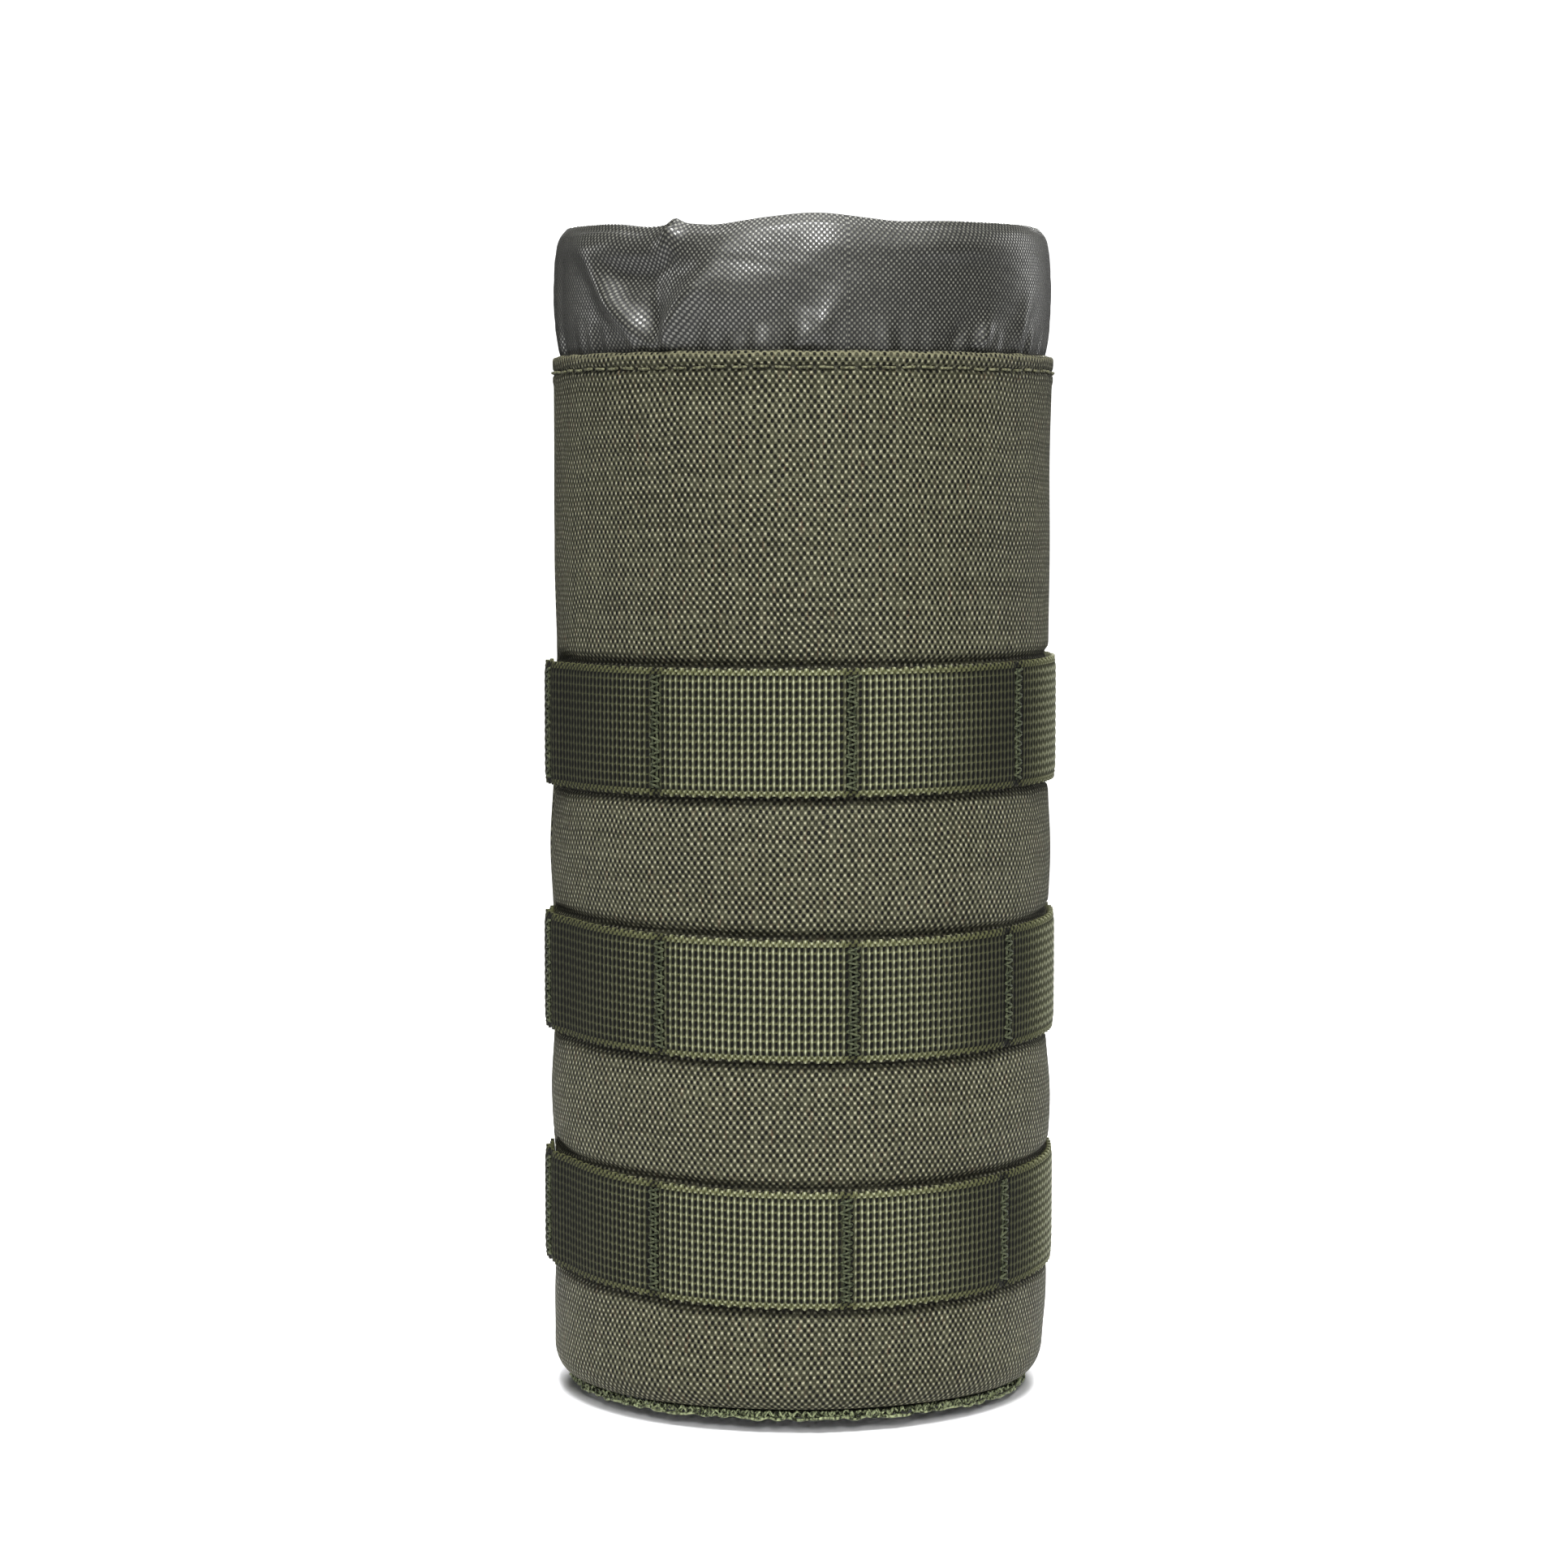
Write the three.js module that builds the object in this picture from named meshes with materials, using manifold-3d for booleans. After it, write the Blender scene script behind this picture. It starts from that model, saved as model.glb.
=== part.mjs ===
// A round cloth pouch for a one litre bottle: a stitched shell with three rows of load webbing,
// a drain net bottom, a tucked drawstring collar and two back straps with snaps.
// Millimetres, +Z up, front towards -Y, +X on the right seen from the front.
// The origin is the centre of the flat bottom.

import * as THREE from "three";
import { mergeVertices } from "three/addons/utils/BufferGeometryUtils.js";
import Module from "manifold-3d";

const wasm = await Module();
wasm.setup();

// Layers, from the outside of the shell inwards and outwards
const GAP = 0.3;
const SHELL_RADIUS = 52.6;
const SHELL_WALL = 1.2;
const LINING_WALL = 0.8;
const WEBBING_WIDTH = 25;
const WEBBING_WALL = 1.4;
const THREAD_WALL = 0.5;

// Heights
const SHELL_BOTTOM = 4.7;
const CORNER_RADIUS = 5.6;
const HEM_TOP = 219;
const HEM_HEIGHT = 8;
const HEM_PROUD = 0.2;
const TOPSTITCH_DROP = 2.8;
const ROW_BOTTOMS = { bottom: 27, middle: 77.5, top: 130.5 };
const BACK_ROW_BOTTOMS = { bottom: 46, middle: 97, top: 148 };

// Round the pouch, in degrees from the front towards +X
const SEAM_Y = 5;
const ROW_HALF_ANGLE = 94.5;
const BARTACK_PITCH = 42.3;
const BARTACK_WIDTH = 2.7;
const BACK_ROW_HALF_ANGLE = 45;
const BACK_BARTACK_ANGLES = { left: 41.5, middle: 0, right: -41.5 };
const STRAP_ANGLES = { left: 201, right: 159 };
const EYELET_ANGLES = { left: 188, right: 172 };

// Drain net: it sags to the flat bottom inside its sewn edge
const NET_FLAT_RADIUS = 41;
const NET_RADIUS = 45.3;
const NET_WALL = 1;
const NET_EDGE_RADIUS = 48;
const NET_EDGE_BOTTOM = 2.7;
const NET_EDGE_HEIGHT = 1.7;

// Collar cloth
const COLLAR_WALL = 0.7;
const SLEEVE_RADIUS = 46.6;
const SLEEVE_BOTTOM = 202;
const SLEEVE_TOP = 232;
const CHANNEL_DEPTH = 3;
const CHANNEL_TOP = 241.5;
const EYELET_HEIGHT = 237;
const EYELET_HOLE = 2.6;

// Back straps
const STRAP_INNER = 54.9;
const STRAP_BOTTOM = 18;
const STRAP_CORNER = 5;
const ANCHOR_BOTTOM = 194;
const ANCHOR_TOP = 209.5;
const SNAP_HEIGHT = 28;
const SNAP_HOLE = 2.3;

// Rings are cut into this many flats, small turned parts into this many
const RING_STEPS = 48;
const SMALL_STEPS = 16;

const SHELL_INNER = SHELL_RADIUS - SHELL_WALL;
const LINING_RADIUS = SHELL_INNER - GAP;
const ROW_INNER = SHELL_RADIUS + GAP;
const ROW_OUTER = ROW_INNER + WEBBING_WALL;
const STRAP_OUTER = STRAP_INNER + WEBBING_WALL;
const HEM_BOTTOM = HEM_TOP - HEM_HEIGHT;

const cloth = { color: 0x5b5a45, roughness: 0.85, metalness: 0 };
const webbing = { color: 0x4a4d38, roughness: 0.75, metalness: 0 };
const coatedCloth = { color: 0x555550, roughness: 0.5, metalness: 0 };
const net = { color: 0x6d7050, roughness: 0.8, metalness: 0 };
const thread = { color: 0x4f5644, roughness: 0.7, metalness: 0 };
const blackenedMetal = { color: 0x2b2b28, roughness: 0.4, metalness: 0.8 };

const pouch = new THREE.Group();

function addPart(name, geometry, finish, angle = 0, height = 0) {
  const mesh = new THREE.Mesh(geometry, new THREE.MeshStandardMaterial(finish));
  mesh.name = name;
  mesh.position.z = height;
  mesh.rotation.z = THREE.MathUtils.degToRad(angle);
  pouch.add(mesh);
}

// Joining and cutting

function solidOf(geometry) {
  const plain = geometry.index ? geometry.toNonIndexed() : geometry.clone();
  plain.deleteAttribute("normal");
  plain.deleteAttribute("uv");
  const merged = mergeVertices(plain);
  const vertProperties = merged.attributes.position.array;
  const triVerts = new Uint32Array(merged.index.array);
  return new wasm.Manifold(new wasm.Mesh({ numProp: 3, vertProperties, triVerts }));
}

function geometryOf(solid) {
  const mesh = solid.getMesh();
  const geometry = new THREE.BufferGeometry();
  geometry.setAttribute("position", new THREE.BufferAttribute(mesh.vertProperties, 3));
  geometry.setIndex(new THREE.BufferAttribute(mesh.triVerts, 1));
  geometry.computeVertexNormals();
  return geometry;
}

// Shapes

// A ring swept round +Z from a closed outline of radius and height, listed clockwise.
function ring(outline, steps = RING_STEPS) {
  const closed = [...outline, outline[0]];
  return new THREE.LatheGeometry(closed, steps).rotateX(Math.PI / 2);
}

// A dish swept round +Z from an outline whose first and last points lie on the axis.
function dish(outline, steps = RING_STEPS) {
  return new THREE.LatheGeometry(outline, steps).rotateX(Math.PI / 2);
}

// A small part turned about an axis that points out of the pouch's front, from a profile of
// radius and distance from the pouch's centre line.
function turnedOutwards(profile, steps = SMALL_STEPS) {
  const points = profile.map(([radius, distance]) => new THREE.Vector2(radius, distance));
  return new THREE.LatheGeometry(points, steps).rotateX(Math.PI);
}

// The outline of a cloth that follows a middle line: its two faces, half a wall to each side.
function clothOutline(middle, wall) {
  const faces = [1, -1].map((side) =>
    middle.map((point, i) => {
      const before = middle[Math.max(i - 1, 0)];
      const after = middle[Math.min(i + 1, middle.length - 1)];
      const along = after.clone().sub(before).normalize();
      return new THREE.Vector2(along.y, -along.x).multiplyScalar((side * wall) / 2).add(point);
    }),
  );
  return [...faces[0], ...faces[1].reverse()];
}

// A quarter turn from flat to upright, then straight up to a height.
function cornerLine(radius, corner, bottom, top, steps = 4) {
  const points = [];
  for (let i = 0; i <= steps; i++) {
    const turn = ((i / steps) * Math.PI) / 2;
    const out = radius - corner + corner * Math.sin(turn);
    points.push(new THREE.Vector2(out, bottom + corner - corner * Math.cos(turn)));
  }
  points.push(new THREE.Vector2(radius, top));
  return points;
}

// A straight-sided ring between two radii, standing on z = 0.
function band(inner, outer, height) {
  return ring([
    new THREE.Vector2(outer, 0),
    new THREE.Vector2(outer, height),
    new THREE.Vector2(inner, height),
    new THREE.Vector2(inner, 0),
  ]);
}

// A curved strip centred on the front, standing on z = 0.
function arcStrip(inner, wall, halfAngle, height, steps) {
  const front = -Math.PI / 2;
  const half = THREE.MathUtils.degToRad(halfAngle);
  const shape = new THREE.Shape();
  shape.absarc(0, 0, inner + wall, front - half, front + half, false);
  shape.absarc(0, 0, inner, front + half, front - half, true);
  return new THREE.ExtrudeGeometry(shape, { depth: height, bevelEnabled: false, curveSegments: steps });
}

// A flat upright plate facing the front, its inner face at a distance from the centre line.
function plate(shape, inner, wall) {
  const geometry = new THREE.ExtrudeGeometry(shape, { depth: wall, bevelEnabled: false, curveSegments: 3 });
  return geometry.rotateX(Math.PI / 2).translate(0, -inner, 0);
}

// Shell, lining, hem and net

function addShell() {
  const middle = cornerLine(
    SHELL_RADIUS - SHELL_WALL / 2,
    CORNER_RADIUS - SHELL_WALL / 2,
    SHELL_BOTTOM + SHELL_WALL / 2,
    HEM_BOTTOM - GAP,
  );
  const shell = solidOf(ring(clothOutline(middle, SHELL_WALL)));
  const size = 4 * SHELL_RADIUS;
  const side = new THREE.BoxGeometry(size, size, 2 * HEM_TOP);
  const frontHalf = solidOf(side.clone().translate(0, SEAM_Y - GAP / 2 - size / 2, 0));
  const backHalf = solidOf(side.clone().translate(0, SEAM_Y + GAP / 2 + size / 2, 0));
  let back = shell.intersect(backHalf);
  for (const angle of Object.values(STRAP_ANGLES)) {
    back = back.subtract(outwardHole(SNAP_HOLE, angle, SNAP_HEIGHT, SHELL_INNER - 1, SHELL_RADIUS + 1));
  }
  addPart("front_panel", geometryOf(shell.intersect(frontHalf)), cloth);
  addPart("back_panel", geometryOf(back), cloth);
}

// The solid that cuts a round hole through a wall, pointing out of the pouch at an angle.
function outwardHole(radius, angle, height, from, to) {
  const profile = [
    [0, from],
    [radius, from],
    [radius, to],
    [0, to],
  ];
  const drill = turnedOutwards(profile, 12);
  drill.rotateZ(THREE.MathUtils.degToRad(angle)).translate(0, 0, height);
  return solidOf(drill);
}

function addLining() {
  const corner = CORNER_RADIUS - SHELL_WALL - GAP;
  const middle = cornerLine(
    LINING_RADIUS - LINING_WALL / 2,
    corner - LINING_WALL / 2,
    SHELL_BOTTOM + SHELL_WALL + GAP + LINING_WALL / 2,
    HEM_BOTTOM - GAP,
  );
  addPart("lining", ring(clothOutline(middle, LINING_WALL)), coatedCloth);
  const inner = LINING_RADIUS - LINING_WALL - GAP - LINING_WALL;
  const seamAngle = 90 + THREE.MathUtils.radToDeg(Math.asin(SEAM_Y / SHELL_RADIUS));
  const height = SLEEVE_BOTTOM - 3 * CORNER_RADIUS;
  for (const [side, angle] of Object.entries({ left: -seamAngle, right: seamAngle })) {
    const tape = arcStrip(inner, LINING_WALL, 5.5, height, 2);
    addPart(`seam_binding_${side}`, tape, webbing, angle, CORNER_RADIUS + SHELL_BOTTOM);
  }
}

function addHem() {
  addPart("top_hem", band(SHELL_INNER, SHELL_RADIUS + HEM_PROUD, HEM_HEIGHT), cloth, 0, HEM_BOTTOM);
  const inner = SHELL_RADIUS + HEM_PROUD + GAP;
  addPart("hem_topstitch", band(inner, inner + THREAD_WALL, 0.7), thread, 0, HEM_TOP - TOPSTITCH_DROP);
}

function addNet() {
  const middle = [
    new THREE.Vector2(0, NET_WALL / 2),
    new THREE.Vector2(NET_FLAT_RADIUS - 2, NET_WALL / 2),
    new THREE.Vector2(NET_FLAT_RADIUS, NET_WALL / 2),
    new THREE.Vector2(NET_RADIUS, NET_EDGE_BOTTOM),
  ];
  addPart("bottom_net", dish(clothOutline(middle, NET_WALL)), net);
  const edge = band(NET_RADIUS + 2 * GAP, NET_EDGE_RADIUS, NET_EDGE_HEIGHT);
  addPart("net_edge", edge, net, 0, NET_EDGE_BOTTOM);
}

// Webbing rows with their bartacks

function addRows() {
  const tackHalfAngle = THREE.MathUtils.radToDeg(BARTACK_WIDTH / 2 / ROW_OUTER);
  const tack = () => arcStrip(ROW_OUTER + GAP, THREAD_WALL, tackHalfAngle, WEBBING_WIDTH, 1);
  for (const [row, bottom] of Object.entries(ROW_BOTTOMS)) {
    const strip = arcStrip(ROW_INNER, WEBBING_WALL, ROW_HALF_ANGLE, WEBBING_WIDTH, 16);
    addPart(`webbing_row_${row}`, strip, webbing, 0, bottom);
    for (let i = 1; i <= 5; i++) {
      addPart(`bartack_${row}_${i}`, tack(), thread, (i - 3) * BARTACK_PITCH, bottom);
    }
  }
  for (const [row, bottom] of Object.entries(BACK_ROW_BOTTOMS)) {
    const strip = arcStrip(ROW_INNER, WEBBING_WALL, BACK_ROW_HALF_ANGLE, WEBBING_WIDTH, 8);
    addPart(`back_row_${row}`, strip, webbing, 180, bottom);
    for (const [side, angle] of Object.entries(BACK_BARTACK_ANGLES)) {
      addPart(`back_bartack_${row}_${side}`, tack(), thread, 180 + angle, bottom);
    }
  }
}

// Collar: the outer wall with its rolled rim, the tucked sleeve and its draw channel

function addCollar() {
  const tail = LINING_RADIUS - LINING_WALL / 2;
  const line = new THREE.SplineCurve([
    new THREE.Vector2(tail, HEM_BOTTOM + GAP),
    new THREE.Vector2(tail, HEM_TOP - HEM_HEIGHT / 2),
    new THREE.Vector2(tail, HEM_TOP - 0.4),
    new THREE.Vector2(tail + 0.8, HEM_TOP + 3),
    new THREE.Vector2(tail + 1.5, HEM_TOP + 9),
    new THREE.Vector2(tail + 1.2, HEM_TOP + 17),
    new THREE.Vector2(tail + 0.3, HEM_TOP + 23),
    new THREE.Vector2(tail - 0.8, HEM_TOP + 25.6),
    new THREE.Vector2(tail - 1.8, HEM_TOP + 25.4),
    new THREE.Vector2(tail - 2.3, HEM_TOP + 23),
    new THREE.Vector2(tail - 2.3, HEM_TOP + 16),
  ]);
  const outline = clothOutline(line.getPoints(16), COLLAR_WALL);
  addPart("collar_wall", ring(outline), coatedCloth);
}

function addSleeve() {
  const inner = SLEEVE_RADIUS - COLLAR_WALL;
  const sleeve = band(inner, SLEEVE_RADIUS, SLEEVE_TOP - SLEEVE_BOTTOM);
  addPart("collar_sleeve", sleeve, coatedCloth, 0, SLEEVE_BOTTOM);

  const outerMiddle = SLEEVE_RADIUS - COLLAR_WALL / 2;
  const turn = (CHANNEL_DEPTH - COLLAR_WALL) / 2;
  const springing = CHANNEL_TOP - COLLAR_WALL / 2 - turn;
  const middle = [new THREE.Vector2(outerMiddle, SLEEVE_TOP + GAP)];
  for (let i = 0; i <= 4; i++) {
    const angle = (i / 4) * Math.PI;
    const radius = outerMiddle - turn + turn * Math.cos(angle);
    middle.push(new THREE.Vector2(radius, springing + turn * Math.sin(angle)));
  }
  middle.push(new THREE.Vector2(outerMiddle - 2 * turn, SLEEVE_TOP + GAP));
  let channel = solidOf(ring(clothOutline(middle, COLLAR_WALL)));
  for (const [side, angle] of Object.entries(EYELET_ANGLES)) {
    const from = SLEEVE_RADIUS - 1.5;
    channel = channel.subtract(outwardHole(EYELET_HOLE, angle, EYELET_HEIGHT, from, SLEEVE_RADIUS + 1));
    addPart(`eyelet_${side}`, eyelet(), blackenedMetal, angle, EYELET_HEIGHT);
  }
  addPart("draw_channel", geometryOf(channel), coatedCloth);
}

// A flanged ring whose barrel passes through the channel's outer wall.
function eyelet() {
  const bore = 1.9;
  const barrel = EYELET_HOLE - GAP;
  const flange = SLEEVE_RADIUS + GAP;
  const inside = SLEEVE_RADIUS - COLLAR_WALL - GAP;
  return turnedOutwards([
    [bore, inside],
    [barrel, inside],
    [barrel, flange],
    [4.2, flange],
    [4.2, flange + 0.3],
    [3.6, flange + 0.6],
    [bore, flange + 0.6],
    [bore, inside],
  ]);
}

// Back straps: a sewn anchor above, a hanging strap and a snap at its lower end

function rectangle(width, bottom, top, corner) {
  const half = width / 2;
  const shape = new THREE.Shape();
  shape.moveTo(half, top);
  shape.lineTo(-half, top);
  shape.lineTo(-half, bottom + corner);
  shape.absarc(-half + corner, bottom + corner, corner, Math.PI, 1.5 * Math.PI, false);
  shape.absarc(half - corner, bottom + corner, corner, 1.5 * Math.PI, 2 * Math.PI, false);
  shape.lineTo(half, top);
  return shape;
}

function addStrap(side, angle) {
  const anchor = rectangle(WEBBING_WIDTH, ANCHOR_BOTTOM, ANCHOR_TOP, 1);
  addPart(`strap_anchor_${side}`, plate(anchor, ROW_INNER, STRAP_OUTER - ROW_INNER), webbing, angle);

  const strap = rectangle(WEBBING_WIDTH, STRAP_BOTTOM, ANCHOR_BOTTOM - GAP, STRAP_CORNER);
  const hole = new THREE.Path();
  hole.absarc(0, SNAP_HEIGHT, SNAP_HOLE, 0, 2 * Math.PI, true);
  strap.holes.push(hole);
  addPart(`back_strap_${side}`, plate(strap, STRAP_INNER, WEBBING_WALL), webbing, angle);

  addPart(`snap_stud_${side}`, snapStud(), blackenedMetal, angle, SNAP_HEIGHT);
  addPart(`snap_socket_${side}`, snapSocket(), blackenedMetal, angle, SNAP_HEIGHT);
  addPart(`snap_cap_${side}`, snapCap(), blackenedMetal, angle, SNAP_HEIGHT);
}

// The stud's shank passes through the back panel and its bulb stands in the socket.
function snapStud() {
  const shank = SNAP_HOLE - GAP;
  const flange = SHELL_RADIUS + GAP;
  return turnedOutwards([
    [0, SHELL_INNER + 0.2],
    [shank, SHELL_INNER + 0.2],
    [shank, flange],
    [5, flange],
    [5, flange + 0.3],
    [2.6, flange + 0.3],
    [2.6, flange + 0.7],
    [3, flange + 1.1],
    [2.7, STRAP_INNER - 0.4],
    [0, STRAP_INNER - 0.4],
  ]);
}

function snapSocket() {
  const bore = 3.3;
  const back = STRAP_INNER - GAP;
  return turnedOutwards([
    [bore, back - 1.1],
    [5, back - 1.1],
    [5.6, back - 0.7],
    [5.6, back],
    [bore, back],
    [bore, back - 1.1],
  ]);
}

function snapCap() {
  const post = SNAP_HOLE - GAP;
  const base = STRAP_OUTER + GAP;
  return turnedOutwards([
    [0, STRAP_INNER],
    [post, STRAP_INNER],
    [post, base],
    [6.2, base],
    [6.3, base + 0.4],
    [5.6, base + 1.1],
    [3.5, base + 1.7],
    [0, base + 1.9],
  ]);
}

addShell();
addLining();
addHem();
addNet();
addRows();
addCollar();
addSleeve();
for (const [side, angle] of Object.entries(STRAP_ANGLES)) {
  addStrap(side, angle);
}

export default pouch;
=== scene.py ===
import math

import bmesh
import bpy
import numpy as np
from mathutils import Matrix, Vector


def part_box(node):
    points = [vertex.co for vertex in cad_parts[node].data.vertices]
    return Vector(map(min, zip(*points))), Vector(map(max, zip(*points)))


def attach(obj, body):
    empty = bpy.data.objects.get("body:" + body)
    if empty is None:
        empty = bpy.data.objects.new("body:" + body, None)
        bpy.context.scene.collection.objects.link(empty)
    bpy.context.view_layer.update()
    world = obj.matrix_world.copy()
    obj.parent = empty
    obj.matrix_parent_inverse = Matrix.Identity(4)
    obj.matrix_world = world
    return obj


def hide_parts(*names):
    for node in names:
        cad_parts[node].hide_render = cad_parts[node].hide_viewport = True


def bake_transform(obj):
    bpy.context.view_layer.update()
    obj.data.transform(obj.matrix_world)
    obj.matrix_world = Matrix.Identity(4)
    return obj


# A round cloth bottle pouch: coarse oxford shell, load webbing, thin coated collar, drain net.
# Shapes are worked out in millimetres and put into the meshes in metres.
# Angles go round the pouch from its front (-Y) towards +X.

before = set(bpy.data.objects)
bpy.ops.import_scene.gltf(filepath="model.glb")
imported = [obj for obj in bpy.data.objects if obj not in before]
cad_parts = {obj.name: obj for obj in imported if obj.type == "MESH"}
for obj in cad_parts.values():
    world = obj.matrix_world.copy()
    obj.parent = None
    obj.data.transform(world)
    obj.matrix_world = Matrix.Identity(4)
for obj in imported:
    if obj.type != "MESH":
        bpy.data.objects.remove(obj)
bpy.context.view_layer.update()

MM = 0.001
PI = math.pi
TAU = 2 * math.pi


def node_box(node):
    """A CAD node's lowest and highest corner in millimetres."""
    low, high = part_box(node)
    return np.array(low) / MM, np.array(high) / MM


# Driving sizes, read from the frame

SHELL_RADIUS = node_box("back_panel")[1][1]
HEM_TOP = node_box("top_hem")[1][2]
HEM_HEIGHT = HEM_TOP - node_box("top_hem")[0][2]
SEAM_ANGLE = 180 - math.degrees(math.asin(node_box("back_panel")[1][0] / SHELL_RADIUS))
RIM_TOP = node_box("collar_wall")[1][2]
SLEEVE_LOW = node_box("collar_sleeve")[0][2]
CHANNEL_LOW, CHANNEL_HIGH = node_box("draw_channel")[0][2], node_box("draw_channel")[1][2]
SLEEVE_RADIUS = node_box("draw_channel")[1][0]
STRAP_LOW, STRAP_HIGH = node_box("back_strap_left")[0][2], node_box("back_strap_left")[1][2]
ANCHOR_HIGH = node_box("strap_anchor_left")[1][2]
WEBBING_WIDTH = 25
STRAP_ANGLES = {"left": 201, "right": 159}
SNAP_HEIGHT = sum(corner[2] for corner in node_box("snap_cap_left")) / 2

# The camera stands a little to the left of the front and above the pouch's middle.
CAMERA_ANGLE = -10
CAMERA_DISTANCE = 815
CAMERA_HEIGHT = 195
CAMERA_DOWN = 4.65
CAMERA_TURN = 0.27
LENS = 88.08
# How bright the room is seen, how much light it gives, and where the floor starts and ends fading
ROOM_SEEN = 1.05
ROOM_LIGHT = 0.03
FLOOR_FADE = (0.25, 0.7)
EXPOSURE = 0.27
GAMMA = 0.82


def bell(x, centre, width):
    """A smooth bump of height 1 at centre that falls away over about width."""
    return np.exp(-(((x - centre) / width) ** 2))


def step(x, edge, width):
    """Rises smoothly from 0 to 1 around edge, over about width."""
    return 0.5 + 0.5 * np.tanh((x - edge) / width)


def turned_away(angle, centre):
    """The angle from centre, in degrees from -180 to 180."""
    return (angle - centre + 180) % 360 - 180


def around(angle, radius, height):
    """Points on the pouch from an angle in degrees, a radius and a height."""
    turn = np.radians(angle)
    parts = np.broadcast_arrays(radius * np.sin(turn), -radius * np.cos(turn), height)
    return np.stack(parts, -1).astype(float)


def axes_at(angle):
    """The sideways, upward and outward directions at an angle, as rows."""
    a = math.radians(angle)
    return np.array([[math.cos(a), math.sin(a), 0], [0, 0, 1], [math.sin(a), -math.cos(a), 0]])


def run_length(line):
    """The distance along a line at each of its points."""
    return np.concatenate([[0], np.cumsum(np.linalg.norm(np.diff(line, axis=0), axis=1))])


def smooth_line(knots, count):
    """A Catmull-Rom curve through the knots, sampled at count points spread evenly along it."""
    knots = np.array(knots, float)
    padded = np.concatenate([[2 * knots[0] - knots[1]], knots, [2 * knots[-1] - knots[-2]]])
    t = np.linspace(0, len(knots) - 1, 40 * len(knots))
    i = np.minimum(t.astype(int), len(knots) - 2)
    f = (t - i)[:, None]
    a, b, c, d = (padded[i + k] for k in range(4))
    line = 0.5 * (2 * b + (c - a) * f + (2 * a - 5 * b + 4 * c - d) * f**2 + (3 * b - a - 3 * c + d) * f**3)
    length = run_length(line)
    at = np.linspace(0, length[-1], count)
    return np.stack([np.interp(at, length, line[:, k]) for k in range(line.shape[1])], -1)


def wander(x, waves, seed):
    """A sum of sines of x in turns, with random phases, between about -1 and 1."""
    phases = np.random.default_rng(seed).random(len(waves)) * TAU
    return sum(np.sin(x * TAU * n + p) for n, p in zip(waves, phases)) / math.sqrt(len(waves))


# Meshes from grids


def grid_faces(rows, cols, wrap_u, wrap_v):
    """The quads of a grid whose columns run along u and rows along v, and each corner's row and column."""
    i, j = np.meshgrid(
        np.arange(rows if wrap_v else rows - 1), np.arange(cols if wrap_u else cols - 1), indexing="ij"
    )
    corners = [(i, j), (i, j + 1), (i + 1, j + 1), (i + 1, j)]
    faces = np.stack([(r % rows) * cols + c % cols for r, c in corners], -1).reshape(-1, 4)
    return faces, corners


def add_object(name, data):
    """Puts a new object into the scene."""
    thing = bpy.data.objects.new(name, data)
    bpy.context.scene.collection.objects.link(thing)
    return thing


def add_piece(name, points, faces, material, uv=None, attributes=()):
    """A smooth mesh object from points in millimetres, with its UV in metres for each face corner."""
    mesh = bpy.data.meshes.new(name)
    mesh.from_pydata((points.reshape(-1, 3) * MM).tolist(), [], faces)
    mesh.polygons.foreach_set("use_smooth", np.ones(len(mesh.polygons), bool))
    if uv is not None:
        mesh.uv_layers.new(name="cloth").data.foreach_set("uv", (uv * MM).astype(np.float32).ravel())
    for attribute, values in dict(attributes).items():
        layer = mesh.attributes.new(attribute, "FLOAT", "POINT")
        layer.data.foreach_set("value", values.astype(np.float32).ravel())
    mesh.materials.append(material)
    mesh.update()
    return add_object(name, mesh)


def grid_piece(name, points, u, v, material, wrap_u=False, wrap_v=False, attributes=()):
    """A grid of points as one surface; u and v are each grid corner's cloth measures in millimetres."""
    rows, cols = points.shape[:2]
    faces, corners = grid_faces(rows, cols, wrap_u, wrap_v)
    uv = np.stack([np.stack([u[c], v[c]], -1) for c in corners], 2)
    return add_piece(name, points, faces.tolist(), material, uv, attributes)


def turn_faces_out(piece, caps=(), merge=False):
    """Turns a closed piece's faces outwards, after merging coinciding points or adding end caps."""
    shape = bmesh.new()
    shape.from_mesh(piece.data)
    if merge:
        bmesh.ops.remove_doubles(shape, verts=shape.verts, dist=1e-6)
    shape.verts.ensure_lookup_table()
    for cap in caps:
        shape.faces.new([shape.verts[i] for i in cap])
    bmesh.ops.recalc_face_normals(shape, faces=shape.faces)
    shape.to_mesh(piece.data)
    shape.free()
    return piece


def tubes_piece(name, lines, up, radius, material, sides=6, closed=False):
    """Round threads carried along lines, shape (threads, points, 3); up points out of the cloth.
    Each ring is radius times cosine along the side and radius times sine along up."""
    threads, count = lines.shape[:2]
    ahead = np.roll(lines, -1, 1) - np.roll(lines, 1, 1) if closed else np.gradient(lines, axis=1)
    ahead /= np.linalg.norm(ahead, axis=-1, keepdims=True)
    side = np.cross(ahead, up)
    side /= np.linalg.norm(side, axis=-1, keepdims=True)
    out = np.cross(side, ahead)
    turn = np.arange(sides) / sides * TAU
    ring = side[:, :, None] * np.cos(turn)[:, None] + out[:, :, None] * np.sin(turn)[:, None]
    points = lines[:, :, None] + ring * np.broadcast_to(radius, (threads, count))[:, :, None, None]
    faces, _ = grid_faces(count, sides, True, closed)
    faces = (faces[None] + np.arange(threads)[:, None, None] * count * sides).reshape(-1, 4).tolist()
    if not closed:
        first = np.arange(threads)[:, None] * count * sides + np.arange(sides)
        faces += first[:, ::-1].tolist() + (first + (count - 1) * sides).tolist()
    return turn_faces_out(add_piece(name, points, faces, material))


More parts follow.
